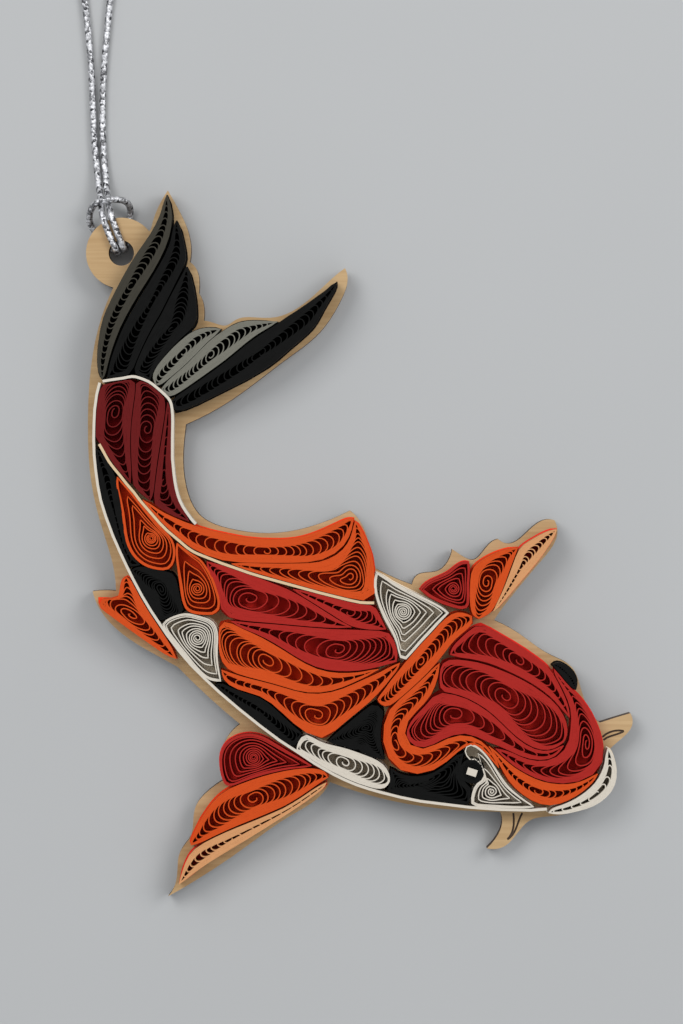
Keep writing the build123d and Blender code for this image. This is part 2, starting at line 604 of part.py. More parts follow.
head = {
    "shoulder_strap": Coil(
        (378.3, 698.2),
        [(380.5, 694.5), (385, 688.8), (390.5, 680.8), (398.5, 670.8), (406.5, 660.8), (414.7, 651),
         (423.7, 641), (433.5, 630.8), (441.5, 621.8), (448.5, 616), (455, 612.5), (463, 612.7)],
        (470.5, 615.7),
        [(380.5, 702), (386, 704.6), (391, 702.5), (398, 697), (406, 690.2), (414, 683), (422, 675.5),
         (430.3, 667), (437.6, 658.3), (444, 650), (450.5, 641.5), (457.5, 634.5), (465.5, 628),
         (470.8, 622.5)],
        eye=0.45, loops=(5, 5), turns=5,
    ),
    "head_border": Coil(
        (439, 662.3),
        [(433, 667.8), (425, 676.3), (416.5, 684.1), (408.5, 691.3), (400, 698.6), (392.7, 705), (388.2, 712.7),
         (384.8, 722.5), (383.5, 735), (385.2, 747), (389.7, 757), (396.7, 764.8), (406, 770), (417, 771.5),
         (429, 769.2), (440, 763.5), (449.5, 756), (457.5, 748.8), (464, 743.2), (470, 741.2), (477.3, 743.3),
         (484.7, 749.8), (492, 758.5)],
        (498.7, 767.3),
        [(437.3, 672), (434.3, 683), (429.8, 693), (422.8, 702), (415.3, 709.5), (408.3, 717), (404.5, 725),
         (403.8, 733.5), (407, 741.5), (413.5, 746.8), (421.5, 748.5), (430.5, 746.5), (440, 741.5),
         (450, 737), (459.5, 734.7), (468.5, 735.2), (477, 738.5), (484, 743.5), (490.5, 751.2),
         (495.5, 759.3)],
        eye=0.42, loops=(6, 5), turns=8,
    ),
    "chin_band": Coil(
        (486.7, 743),
        [(494, 749.8), (502, 757.3), (511, 765), (521, 771.5), (533, 777.7), (546, 782), (560, 783.5),
         (573.5, 782.5), (586, 778.2)],
        (597, 771.8),
        [(492.5, 751), (498.8, 761.5), (504.5, 771.8), (511, 781.5), (519.5, 789.8), (529, 796.6),
         (539, 801.3), (549, 802.8), (560, 800.8), (571, 795.8), (581.5, 789), (591, 780.3)],
        eye=0.5, loops=(4, 4), turns=6,
    ),
    "head_red_top": Coil(
        (450.3, 653.3),
        [(452.3, 646.8), (458.8, 639.6), (466.7, 632.3), (474, 626.8), (480.5, 624.3), (490, 629), (501, 635.3),
         (513, 642.3), (525, 649.8), (537, 658.3), (546.3, 666), (552.7, 675.3), (558.2, 685.3),
         (563, 695.8), (566.7, 706)],
        (568.5, 716.5),
        [(460, 655.6), (472, 657.1), (484, 659.8), (496, 663.8), (508, 669.1), (520, 675), (532, 681.6),
         (543, 689.1), (553, 697.6), (561, 707)],
        eye=0.5, loops=(4, 4), turns=6,
    ),
    "head_red_middle": Coil(
        (440.3, 675),
        [(441, 667.5), (443.7, 661.5), (452, 659), (466, 660.3), (480, 662.8), (494, 667.5), (507, 672.6),
         (519, 678.3), (531, 685), (542, 692.6), (552, 701), (559.8, 711), (564.7, 722), (565.5, 732)],
        (562, 740),
        [(440.3, 683), (441.5, 689.3), (452, 691.2), (464, 694.8), (476, 700.6), (488, 708.4), (498.5, 717.5),
         (508.5, 727.5), (518.5, 736.3), (529, 743.3), (540, 747.3), (551, 746.8)],
        eye=0.48, loops=(5, 5), turns=5,
    ),
    "head_red_lower": Coil(
        (408.2, 728),
        [(412, 719.7), (418.7, 712.2), (426.2, 704.5), (432.7, 696.5), (439.5, 692), (451, 693.8), (463, 697.2),
         (475, 703.1), (487, 711), (497, 719.8), (507, 729.8), (517, 738.8), (528, 746), (539.5, 750.1),
         (550.5, 749.8), (558, 746.3)],
        (563, 743.7),
        [(406.8, 733.5), (410, 739.7), (415.5, 744), (422, 745.2), (430, 743.4), (439, 738.5), (449.5, 733.8),
         (460, 731.3), (469.5, 731.8), (478.5, 735.3), (487, 739.5), (497, 743), (508, 748), (519, 753.2),
         (531, 756.8), (544, 757.5), (554.5, 753.5)],
        eye=0.32, loops=(4, 6), turns=6,
    ),
    "head_red_outer": Coil(
        (552.7, 667.3),
        [(560, 676.7), (567, 685.5), (574, 691.8), (581, 699.3), (588, 709), (594, 720.5), (599, 733),
         (601.5, 746), (601, 758), (597.5, 768), (585, 776), (573, 780), (560, 781), (547, 779.5),
         (534, 775.2), (522, 769), (512, 762.5), (503.5, 755)],
        (494.7, 747),
        [(555.3, 674.7), (560.7, 684), (565.6, 694), (569.3, 704), (571, 713), (570.8, 722.5), (570, 732.3),
         (568.3, 741), (563.8, 749.3), (555.3, 756.7), (544.3, 760.3), (531.5, 759.8), (520, 756.3),
         (509.5, 751.3)],
        eye=0.42, loops=(5, 5), turns=7,
    ),
    "eye_right": Coil(
        (552.2, 664),
        [(557, 662.3), (562.7, 664.2), (568.5, 668.2), (573.2, 673.8), (575.5, 680.5)],
        (574.7, 688.2),
        [(561.3, 674.3), (568.3, 682.7)],
        loops=(0, 0), turns=6,
    ),
}
fins = {
    "pectoral_red": Coil(
        (420.7, 588.5),
        [(426.5, 583), (433, 579.3), (441, 575.8), (449, 571.7), (456, 566), (462, 562.5)],
        (467.3, 562),
        [(428, 594), (436, 598.8), (445, 602.7), (454, 605.5), (461, 607), (467, 605.5), (467.6, 595),
         (467.3, 583), (468, 571)],
        eye=0.55, loops=(4, 3), turns=4,
    ),
    "pectoral_orange": Coil(
        (516.5, 547.5),
        [(508, 549), (498, 551.8), (489, 555.8), (481, 560.5), (474.5, 566), (471.3, 573), (470.3, 584),
         (470, 596), (470.8, 607), (473, 614)],
        (478.5, 617),
        [(512.5, 557), (508, 569), (503.8, 581), (499.5, 592), (495, 602), (490.3, 609.5), (485, 613.5)],
        eye=0.55, loops=(4, 4), turns=6,
    ),
    "pectoral_tan": Coil(
        (555.3, 529.2),
        [(546, 532), (537, 536.5), (528.5, 541.5), (521.5, 546.5), (517.5, 552), (514, 561), (510.3, 571),
         (506.2, 582), (502, 592), (497.7, 601)],
        (491.7, 611.5),
        [(551.5, 537.5), (545.5, 547), (538.5, 557), (530.5, 567), (522, 577), (513.5, 587), (505.5, 596.5),
         (497.5, 605.5)],
        eye=0.5, loops=(5, 5), turns=5,
    ),
    "pelvic_red": Coil(
        (311.5, 764.3),
        [(302, 758.8), (291, 752.7), (280, 746), (270, 740), (261, 735.5), (251, 733.5), (241, 734.7),
         (232, 738.7), (225.5, 744.7), (221.8, 753)],
        (221.3, 763),
        [(303, 765.1), (291, 766.1), (279, 768.3), (266, 771.3), (253, 775.2), (241, 779.7), (232, 783.2),
         (226.5, 782.7), (223, 774.5)],
        eye=0.62, loops=(5, 3), turns=4,
    ),
    "pelvic_orange": Coil(
        (327.3, 775.8),
        [(325.5, 770.8), (318, 768.3), (307, 767.5), (295, 768.6), (282, 770.8), (269, 773.9), (256, 777.8),
         (244, 782.2), (233, 786.5), (224, 791.7), (215.5, 799.2), (208.5, 808.2), (202, 818), (196.5, 829),
         (192.3, 838.5)],
        (191.7, 843),
        [(321, 779.3), (312, 785.6), (300, 794), (287, 802), (272, 808.9), (257, 815.1), (242, 821.1),
         (228, 827.1), (214, 833.6), (202, 839.5)],
        eye=0.5, loops=(5, 5), turns=7,
    ),
    "pelvic_tan": Coil(
        (326.3, 781),
        [(318, 785.8), (309, 791.8), (297, 799.9), (284, 807.4), (270, 813.6), (255, 819.8), (240, 825.7),
         (226, 831.6), (212, 838.1), (200, 844.9), (192.3, 851.7), (187.3, 860), (183.7, 870)],
        (179.5, 882.5),
        [(323.5, 785.5), (314, 793), (303, 801), (291, 809), (278, 817.5), (264, 826.3), (250, 835),
         (236, 843.5), (222, 852), (208, 860.5), (196, 869), (186, 877)],
        eye=0.62, loops=(5, 3), turns=5,
    ),
    "small_fin_coil": Coil(
        (127.5, 577),
        [(130.8, 579.5), (133, 583), (140.6, 597.4), (149.6, 612.4), (157.6, 624.5), (165.5, 636.5),
         (172, 647)],
        (177, 657.5),
        [(123.8, 580.3), (122, 588), (120.5, 596.5), (111.5, 599.5), (99.7, 598.2), (102.5, 606.5), (112, 614),
         (124, 622.8), (138, 632.8), (152, 642.7), (165, 651.5)],
        eye=0.45, loops=(3, 5), turns=3,
    ),
}
for field in (tail, peduncle, dorsal_fin, flank, red_back, white_fields, black_fields, head, fins):
    for name, shape in field.items():
        if crosses(inset(shape.outline(), coil_gap / 2)):
            print("outline crosses itself:", name)
        with BuildPart() as coil:
            with BuildSketch(board_top):
                with BuildLine():
                    Polyline(*inset(shape.outline(), coil_gap / 2), close=True)
                make_face()
                for space in shape.crescents():
                    with BuildLine():
                        Polyline(*space, close=True)
                    make_face(mode=Mode.SUBTRACT)
            extrude(amount=strip_height)
        write_part(coil.part, name)

# Left eye: a tight black roll with a white paper chip on it
with BuildPart() as eye_left:
    with BuildSketch(board_top):
        with Locations(on_board(eye_centre)):
            Circle(eye_diameter / 2)
    extrude(amount=strip_height)
write_part(eye_left.part, "eye_left")

with BuildPart() as eye_glint:
    with BuildSketch(strip_top):
        with Locations(on_board(glint_centre)):
            Rectangle(glint_length, glint_width, rotation=glint_turn)
    extrude(amount=glint_thickness)
write_part(eye_glint.part, "eye_glint")

# Cord: out of the lug's hole, over the lug and up one leg, round the loop's top, down the
# other leg into the hole, beneath the lug, over both legs as the hitch, and back beneath it.
over_lug = cord_diameter + cord_clearance + board_thickness + cord_diameter / 2 + 0.17
flat = cord_diameter / 2
knot_height = cord_diameter / 2 + knot_bore_clearance + knot_wrap + 0.01
cord_route = [
    (-36.4, 43.65, 2.75),
    (-36.4, 43.65, over_lug), (-37.65, 46.35, over_lug), (-38.5, 48.75, 4.85), (-38.85, 50.9, 3.4),
    (-39.2, 53.3, 1.85), (-39.75, 57.2, 0.65), (-40.2, 62.5, flat), (-40.35, 69.5, flat), (-41.0, 78.0, flat),
    (-42.4, 88.5, flat), (-44.3, 100.0, flat), (-45.3, 110.5, flat), (-45.5, 117.5, flat),
    (-44.9, 122.1, 1.0), (-42.9, 125.6, knot_height), (-36.7, 125.6, knot_height), (-34.6, 122.3, 1.0),
    (-34.1, 117.8, flat), (-34.4, 110.8, flat), (-35.4, 100.5, flat), (-36.9, 89.0, flat),
    (-38.1, 78.0, flat), (-38.8, 69.0, flat), (-38.85, 62.0, flat), (-38.5, 57.0, 0.65), (-38.1, 53.2, 1.85),
    (-37.75, 50.95, 3.4), (-37.3, 49.15, 4.85), (-36.4, 46.7, over_lug),
    (-35.4, 44.2, over_lug), (-35.35, 44.15, 2.7), (-35.4, 44.2, flat),
    (-34.75, 48.8, flat), (-34.5, 50.35, 1.1), (-35.0, 51.4, 2.7), (-36.6, 51.6, 4.4), (-38.4, 51.4, 4.75),
    (-39.8, 50.9, 4.3), (-40.6, 49.8, 2.8), (-40.8, 48.35, 1.0), (-39.9, 46.9, flat), (-38.3, 45.2, flat),
    (-36.4, 43.65, flat), (-36.4, 43.65, 2.55),
]


def bend_radii(route, share=0.45):
    """The radius of each corner: its arc takes a share of the shorter run beside it."""
    corners = [Vector(*p) for p in route]
    radii = []
    for before, here, after in zip(corners, corners[1:], corners[2:]):
        half_turn = radians((here - before).get_angle(after - here)) / 2
        shorter = min((here - before).length, (after - here).length)
        radii.append(share * shorter / tan(half_turn))
    return radii


cord_radii = bend_radii(cord_route)
print("cord bend radii:", ", ".join(f"{r:.1f}" for r in cord_radii))

with BuildPart() as cord:
    with BuildLine() as cord_path:
        FilletPolyline(*cord_route, radius=cord_radii)
    with BuildSketch(Plane(cord_route[0], z_dir=(0, 0, 1))):
        Circle(cord_diameter / 2)
    sweep()
write_part(cord.part, "cord")
cord_length = cord_path.wire().length
cord_section = pi * (cord_diameter / 2) ** 2
print(f"cord length {cord_length:.1f}, volume {cord.part.volume:.2f}, expected {cord_length * cord_section:.2f}")

# Knot: wraps of the cord, threaded on the straight run at the loop's top
knot_ends = Vector(*cord_route[15]), Vector(*cord_route[16])
knot_axis = Axis((knot_ends[0] + knot_ends[1]) / 2, knot_ends[1] - knot_ends[0])
wrap_middle = cord_diameter / 2 + knot_bore_clearance + knot_wrap / 2
with BuildPart() as cord_knot:
    with BuildSketch(Plane(knot_axis.position, x_dir=knot_axis.direction, z_dir=(0, 0, 1))):
        with Locations((0, wrap_middle)):
            with GridLocations(knot_pitch, 1, knot_wraps, 1):
                Circle(knot_wrap / 2)
    revolve(axis=knot_axis)
write_part(cord_knot.part, "cord_knot")
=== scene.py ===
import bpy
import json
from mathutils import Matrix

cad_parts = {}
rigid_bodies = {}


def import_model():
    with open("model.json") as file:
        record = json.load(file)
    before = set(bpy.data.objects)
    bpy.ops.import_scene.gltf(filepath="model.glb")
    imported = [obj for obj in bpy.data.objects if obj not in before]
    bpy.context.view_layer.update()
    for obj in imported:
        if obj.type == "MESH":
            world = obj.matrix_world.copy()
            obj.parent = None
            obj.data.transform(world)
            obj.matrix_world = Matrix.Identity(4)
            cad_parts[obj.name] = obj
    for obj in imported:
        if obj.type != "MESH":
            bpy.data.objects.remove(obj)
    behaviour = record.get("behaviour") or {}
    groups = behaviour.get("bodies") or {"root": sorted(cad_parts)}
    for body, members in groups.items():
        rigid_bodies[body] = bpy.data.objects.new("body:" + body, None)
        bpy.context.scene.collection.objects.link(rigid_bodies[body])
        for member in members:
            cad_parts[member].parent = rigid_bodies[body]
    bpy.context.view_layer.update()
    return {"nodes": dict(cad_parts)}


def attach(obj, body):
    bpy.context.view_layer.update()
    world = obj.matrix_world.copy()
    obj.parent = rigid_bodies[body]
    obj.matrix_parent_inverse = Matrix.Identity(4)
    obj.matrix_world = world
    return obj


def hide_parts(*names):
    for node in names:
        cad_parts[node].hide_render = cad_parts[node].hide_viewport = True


bl_info = {
    "name": "Quilled koi",
    "version": (1, 0, 0),
    "blender": (4, 5, 0),
    "location": "View3D > Sidebar > Koi",
    "description": "Dresses a quilled paper koi on a wooden board with its paper coils, finishes and cord",
    "category": "Object",
}

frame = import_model()

import json
import math
import random

import bmesh
import bpy
from bpy.props import FloatProperty, FloatVectorProperty, IntProperty, PointerProperty
from mathutils import Matrix, Vector
from mathutils.geometry import intersect_line_line_2d

MM = 0.001

# Places in the photograph are given on a template whose squares measure this much
BOARD_LENGTH = 105.9 * MM
TEMPLATE_LENGTH = 706
TEMPLATE_CENTRE = (360, 543.5)
SQUARE = BOARD_LENGTH / TEMPLATE_LENGTH
PICTURE = (683, 1024)

# The cord's route, from inside the lug's hole round the loop and the hitch and back, in millimetres
CORD_DIAMETER = 1.0
OVER_LUG = 4.73
FLAT = 0.5
KNOT_HEIGHT = 1.52
CORD_ROUTE = [
    (-36.4, 43.65, 2.75),
    (-36.4, 43.65, OVER_LUG), (-37.65, 46.35, OVER_LUG), (-38.5, 48.75, 4.85), (-38.85, 50.9, 3.4),
    (-39.2, 53.3, 1.85), (-39.75, 57.2, 0.65), (-40.2, 62.5, FLAT), (-40.35, 69.5, FLAT),
    (-41.0, 78.0, FLAT), (-42.4, 88.5, FLAT), (-44.3, 100.0, FLAT), (-45.3, 110.5, FLAT),
    (-45.5, 117.5, FLAT), (-44.9, 122.1, 1.0), (-42.9, 125.6, KNOT_HEIGHT),
    (-36.7, 125.6, KNOT_HEIGHT), (-34.6, 122.3, 1.0),
    (-34.1, 117.8, FLAT), (-34.4, 110.8, FLAT), (-35.4, 100.5, FLAT), (-36.9, 89.0, FLAT),
    (-38.1, 78.0, FLAT), (-38.8, 69.0, FLAT), (-38.85, 62.0, FLAT), (-38.5, 57.0, 0.65),
    (-38.1, 53.2, 1.85), (-37.75, 50.95, 3.4), (-37.3, 49.15, 4.85), (-36.4, 46.7, OVER_LUG),
    (-35.4, 44.2, OVER_LUG), (-35.35, 44.15, 2.7), (-35.4, 44.2, FLAT),
    (-34.75, 48.8, FLAT), (-34.5, 50.35, 1.1), (-35.0, 51.4, 2.7), (-36.6, 51.6, 4.4), (-38.4, 51.4, 4.75),
    (-39.8, 50.9, 4.3), (-40.6, 49.8, 2.8), (-40.8, 48.35, 1.0), (-39.9, 46.9, FLAT), (-38.3, 45.2, FLAT),
    (-36.4, 43.65, FLAT), (-36.4, 43.65, 2.55),
]

# Coils by field: node, tip, other tip, where the strip's inner end lies (a share of the
# length, or a template point for a roll whose turns ring that point), turns, paper
FIELDS = {
    "tail": [
        ("tail_left_grey", (168, 196), (103.5, 379), 0.5, 17, "grey"),
        ("tail_left_black", (177.5, 222), (109, 377.3), 0.5, 15, "black"),
        ("tail_inner_black", (187.5, 268), (151, 379.5), 0.5, 13, "black"),
        ("tail_right_silver", (157, 384.5), (221, 329.8), 0.48, 8, "light_grey"),
        ("tail_right_grey", (163, 389.5), (278, 322.2), 0.45, 13, "light_grey"),
        ("tail_right_black", (173.7, 401.5), (337, 282.5), 0.5, 16, "black"),
    ],
    "peduncle": [
        ("peduncle_left", (119, 383.2), (131.7, 482.6), 0.36, 10, "deep_red"),
        ("peduncle_middle", (150, 385.8), (151, 499.6), 0.42, 10, "deep_red"),
        ("peduncle_right", (168.5, 401.5), (190.3, 521), 0.6, 8, "deep_red"),
    ],
    "dorsal_fin": [
        ("dorsal_fin_long", (142.5, 498.5), (352.8, 518.5), 0.58, 15, "orange"),
        ("dorsal_fin_corner", (231, 562.8), (355, 521.5), 0.66, 13, "orange"),
    ],
    "flank": [
        ("flank_teardrop_upper", (118.5, 477), (164, 568.3), (152, 538), 11, "orange"),
        ("flank_teardrop_lower", (178, 543), (213, 612.3), (198, 588), 9, "orange"),
        ("orange_flank_upper", (220.3, 640), (380, 667.5), 0.36, 12, "orange"),
        ("orange_flank_lower", (222.5, 669), (399.3, 662), 0.52, 13, "orange"),
    ],
    "red_back": [
        ("red_back_left", (208, 561.2), (352, 626.3), 0.36, 11, "red"),
        ("red_back_right", (292.5, 588), (385.5, 628), 0.58, 8, "red"),
        ("red_back_lower", (231, 619.8), (395.5, 660), 0.62, 12, "red"),
    ],
    "white_fields": [
        ("white_side", (164.5, 623.5), (221, 679.5), (198, 637), 11, "white"),
        ("white_shoulder", (376.3, 572), (447.3, 612), (403, 611), 12, "white"),
        ("white_belly", (297.5, 748), (388.5, 780), 0.5, 9, "white"),
        ("white_cheek", (469.5, 757.3), (533, 805.3), (491, 790), 8, "white"),
        ("white_lip", (606.5, 747.5), (547.8, 811), 0.5, 6, "white"),
    ],
    "black_fields": [
        ("black_wedge", (98, 449), (141, 564), 0.5, 10, "black"),
        ("black_side", (132.7, 569.5), (175.5, 613), 0.5, 12, "black"),
        ("black_belly", (216.8, 683), (301, 732.7), 0.5, 11, "black"),
        ("black_saddle", (328.5, 739.8), (383.5, 757.5), 0.5, 14, "black"),
        ("black_cheek", (390.7, 767), (467.5, 801.5), 0.4, 13, "black"),
    ],
    "head": [
        ("shoulder_strap", (378.3, 698.2), (470.5, 615.7), 0.45, 13, "orange"),
        ("head_border", (439, 662.3), (498.7, 767.3), 0.42, 14, "orange"),
        ("chin_band", (486.7, 743), (597, 771.8), 0.5, 10, "orange"),
        ("head_red_top", (450.3, 653.3), (568.5, 716.5), 0.5, 10, "red"),
        ("head_red_middle", (440.3, 675), (562, 740), 0.48, 11, "red"),
        ("head_red_lower", (408.2, 728), (563, 743.7), 0.32, 11, "red"),
        ("head_red_outer", (552.7, 667.3), (494.7, 747), 0.42, 13, "red"),
    ],
    "eyes": [
        ("eye_left", (460, 769.5), (483, 769.5), (471.5, 769.5), 9, "black"),
        ("eye_right", (552.2, 664), (574.7, 688.2), 0.5, 8, "black"),
    ],
    "pectoral_fin": [
        ("pectoral_red", (420.7, 588.5), (467.3, 562), (453, 588), 9, "red"),
        ("pectoral_orange", (516.5, 547.5), (478.5, 617), 0.55, 9, "orange"),
        ("pectoral_tan", (555.3, 529.2), (491.7, 611.5), 0.5, 11, "tan"),
    ],
    "pelvic_fin": [
        ("pelvic_red", (311.5, 764.3), (221.3, 763), (254, 756), 12, "red"),
        ("pelvic_orange", (327.3, 775.8), (191.7, 843), 0.5, 13, "orange"),
        ("pelvic_tan", (326.3, 781), (179.5, 882.5), 0.62, 11, "tan"),
    ],
    "small_fin": [("small_fin_coil", (127.5, 577), (177, 657.5), 0.45, 9, "orange")],
}

# The sheet of painted light that the coils of each paper stand in: painted bounce light under the red, tan
# and orange coils, painted light under the white ones, and painted shade in black under the black and grey
# coils
GAP_LIGHT_AND_SHADE = {
    "black": "black", "grey": "black", "light_grey": "black", "red": "red_gap_light", "deep_red": "deep_red_gap_light",
    "orange": "orange_gap_light", "tan": "red_gap_light", "white": "pale_gap_light",
}

# Outer turns that lie against each other, in a roll whose turns ring a point and in a pressed one
RING_RIM = 2
SLOT_RIM = 3

# How turns lie, in thicknesses of paper
TIGHT = 1.02  # from one outer turn to the next
LOOSE = 1.08  # between the sides of the turns inside them, at most
INSIDE = 0.2  # from the outline to the middle of the outermost turn
OPEN_MIDDLE = 0.4  # round the inner end of a ringed roll

# How turns change on their way in
INNER_END = 0.75  # turns left out at the middle
SLIM = 0.8  # greatest width of a turn, as a share of its length
ROUNDING = 1.6  # how soon the turns of a ringed roll become circles
SHORT_OF_RIM = 0.97  # share of a ray that is searched for a nearer edge

# The share of a coil's half width that its turns fill: most where it is narrow, less as it opens
PACKED = 0.62
PACKED_BLACK = 0.86
RIM_SHARE = 0.42
CLOSED_NARROW = 0.9
OPENING = 1.25
OPEN_WIDTH = 3.1 * MM

# The sheet of painted light under a coil, in millimetres: its height, the step from one sheet to the next,
# and its spread past the coil into the gaps between coils
FILM_HEIGHT = 0.02
FILM_STEP = 0.002
FILM_SPREAD = 0.25
UNEVEN_TOP = 0.05  # how far, in millimetres, a strip's upper edge dips

EDGINGS = {"belly_edging": "white", "dorsal_edging": "cream", "tail_edging": "white"}

# Lamps: name, place in metres, size, share of the key light's power
LAMPS = (("key", (-0.4, 0.4, 0.75), 0.45, 0.65), ("side", (0.5, 0.3, 0.65), 0.4, 0.55))

# Scales of the patterns, in features a metre
MOTTLE = 700
FIBRE = 5200
BROAD_GRAIN = 160
FINE_GRAIN = 1500


class PaperSettings(bpy.types.PropertyGroup):
    """Sizes and colours of the quilling strips."""

    thickness: FloatProperty(
        name="Paper", description="Thickness of one strip", default=0.16 * MM, precision=5, unit="LENGTH")
    squeeze: FloatProperty(
        name="Squeeze", description="How far a coil presses into the clearance round its solid",
        default=0.13 * MM, precision=5, unit="LENGTH")
    samples: IntProperty(name="Samples", description="Points along one turn", default=46, min=12)
    unevenness: FloatProperty(
        name="Unevenness", description="How far turns stray from even spacing, in turns", default=0.22)
    white: FloatVectorProperty(name="White", description="White paper", subtype="COLOR",
                               default=(0.64, 0.58, 0.49))
    cream: FloatVectorProperty(name="Cream", description="Cream paper", subtype="COLOR",
                               default=(0.66, 0.49, 0.30))
    black: FloatVectorProperty(name="Black", description="Black paper", subtype="COLOR",
                               default=(0.003, 0.003, 0.0027))
    grey: FloatVectorProperty(name="Grey", description="Dark grey paper", subtype="COLOR",
                              default=(0.045, 0.041, 0.031))
    light_grey: FloatVectorProperty(name="Light grey", description="Light grey paper", subtype="COLOR",
                                    default=(0.17, 0.165, 0.135))
    deep_red: FloatVectorProperty(name="Deep red", description="Deep red paper", subtype="COLOR",
                                  default=(0.13, 0.007, 0.007))
    red: FloatVectorProperty(name="Red", description="Red paper", subtype="COLOR",
                             default=(0.38, 0.018, 0.013))
    orange: FloatVectorProperty(name="Orange", description="Orange paper", subtype="COLOR",
                                default=(0.60, 0.070, 0.009))
    tan: FloatVectorProperty(name="Tan", description="Tan paper", subtype="COLOR",
                             default=(0.62, 0.30, 0.13))
    # Painted light: colours of the sheets under the coils, standing for the light bounced between their
    # turns, and pale under the white coils
    red_gap_light: FloatVectorProperty(name="Red film", description="Dye under the red coils", subtype="COLOR",
                                  default=(0.80, 0.03, 0.02))
    deep_red_gap_light: FloatVectorProperty(name="Deep film", description="Dye under the deep red coils",
                                   subtype="COLOR", default=(0.40, 0.008, 0.012))
    orange_gap_light: FloatVectorProperty(name="Orange film", description="Dye under the orange coils",
                                     subtype="COLOR", default=(0.85, 0.06, 0.01))
    pale_gap_light: FloatVectorProperty(name="Pale film", description="Glue under the white coils",
                                   subtype="COLOR", default=(0.85, 0.74, 0.58))


class BoardSettings(bpy.types.PropertyGroup):
    """Colours of the wooden board."""

    wood: FloatVectorProperty(name="Wood", description="Pale wood", subtype="COLOR",
                              default=(0.56, 0.38, 0.19))
    grain: FloatVectorProperty(name="Grain", description="Darker grain", subtype="COLOR",
                               default=(0.40, 0.24, 0.10))
    burnt: FloatVectorProperty(name="Burnt", description="Edges charred by the laser", subtype="COLOR",
                               default=(0.035, 0.018, 0.009))


class CordSettings(bpy.types.PropertyGroup):
    """The cord's look."""

    silver: FloatVectorProperty(name="Silver", description="Bright metallic thread", subtype="COLOR",
                                default=(0.88, 0.88, 0.90))
    shade: FloatVectorProperty(name="Shade", description="Thread in shade", subtype="COLOR",
                               default=(0.05, 0.05, 0.055))
    bead: FloatProperty(name="Bead", description="Size of one glint of the braid", default=0.42 * MM,
                        precision=5, unit="LENGTH")


class StageSettings(bpy.types.PropertyGroup):
    """Camera, light and floor."""

    distance: FloatProperty(name="Distance", description="Camera above the board", default=0.56,
                            unit="LENGTH")
    floor: FloatVectorProperty(name="Floor", description="Pale floor", subtype="COLOR",
                               default=(0.465, 0.47, 0.47))
    key: FloatProperty(name="Key light", description="Power of the soft lamps", default=5.0, unit="POWER")
    fill: FloatProperty(name="Fill light", description="Strength of the light from all round", default=0.55)


# Places

def board_plane():
    """Where the coils stand: x right, y up the board, z = 0 on the board's face."""
    mesh = frame["nodes"]["board"].data
    up = Vector()
    for polygon in mesh.polygons:
        if polygon.normal.z > 0.9:
            up += polygon.normal * polygon.area
    up.normalize()
    heights = [up.dot(v.co) for v in mesh.vertices]
    thickness = max(heights) - min(heights)
    origin = Vector((0, 0, min(heights) / up.z)) + up * thickness
    right = Vector((1, 0, 0))
    plane = Matrix((right, up.cross(right), up)).transposed().to_4x4()
    plane.translation = origin
    return plane


BOARD_PLANE = board_plane()


def on_board(point):
    """A template point in the board's plane."""
    return Vector(((point[0] - TEMPLATE_CENTRE[0]) * SQUARE, (TEMPLATE_CENTRE[1] - point[1]) * SQUARE))


# Materials

class Shade:
    """A value in a material, on which ordinary sums add Math nodes."""

    def __init__(self, material, socket):
        self.material = material
        self.socket = socket

    def maths(self, operation, other, swapped=False):
        values = (other, self) if swapped else (self, other)
        return self.material.node("ShaderNodeMath", {"operation": operation}, *values)

    def __add__(self, other):
        return self.maths("ADD", other)

    def __sub__(self, other):
        return self.maths("SUBTRACT", other)

    def __rsub__(self, other):
        return self.maths("SUBTRACT", other, swapped=True)

    def __mul__(self, other):
        return self.maths("MULTIPLY", other)

    def __gt__(self, other):
        return self.maths("GREATER_THAN", other)

    def __lt__(self, other):
        return self.maths("LESS_THAN", other)

    __radd__ = __add__
    __rmul__ = __mul__


class Finish:
    """A material and the nodes that it is made of."""

    def __init__(self, name):
        self.made = bpy.data.materials.new(name)
        self.made.use_nodes = True
        self.tree = self.made.node_tree
        self.shader = next(n for n in self.tree.nodes if n.type == "BSDF_PRINCIPLED")
        places = self.tree.nodes.new("ShaderNodeTexCoord")
        self.place = Shade(self, places.outputs["Object"])
        self.facing = Shade(self, places.outputs["Normal"])

    def put(self, socket, value):
        if isinstance(value, Shade):
            self.tree.links.new(value.socket, socket)
        elif hasattr(value, "__len__") and len(value) == 3 and len(socket.default_value) == 4:
            socket.default_value = (*value, 1)
        else:
            socket.default_value = value

    def node(self, kind, settings, *values, output=0, **named):
        made = self.tree.nodes.new(kind)
        for key, value in settings.items():
            setattr(made, key, value)
        for socket, value in zip(made.inputs, values):
            self.put(socket, value)
        for key, value in named.items():
            self.put(made.inputs[key.replace("_", " ")], value)
        return Shade(self, made.outputs[output])

    def noise(self, scale, detail=3.0, stretch=(1, 1, 1)):
        place = self.node("ShaderNodeVectorMath", {"operation": "MULTIPLY"}, self.place, stretch)
        return self.node("ShaderNodeTexNoise", {}, Vector=place, Scale=scale, Detail=detail)

    def mix(self, share, one, other):
        made = self.tree.nodes.new("ShaderNodeMix")
        made.data_type = "RGBA"
        self.put(made.inputs[0], share)
        self.put(made.inputs[6], one)
        self.put(made.inputs[7], other)
        return Shade(self, made.outputs[2])

    def dot(self, vector, direction):
        return self.node("ShaderNodeVectorMath", {"operation": "DOT_PRODUCT"}, vector, direction, output=1)

    def bump(self, height, distance, strength=0.5):
        return self.node("ShaderNodeBump", {}, Height=height, Distance=distance, Strength=strength)

    def finish(self, **sockets):
        for key, value in sockets.items():
            self.put(self.shader.inputs[key.replace("_", " ")], value)
        return self.made


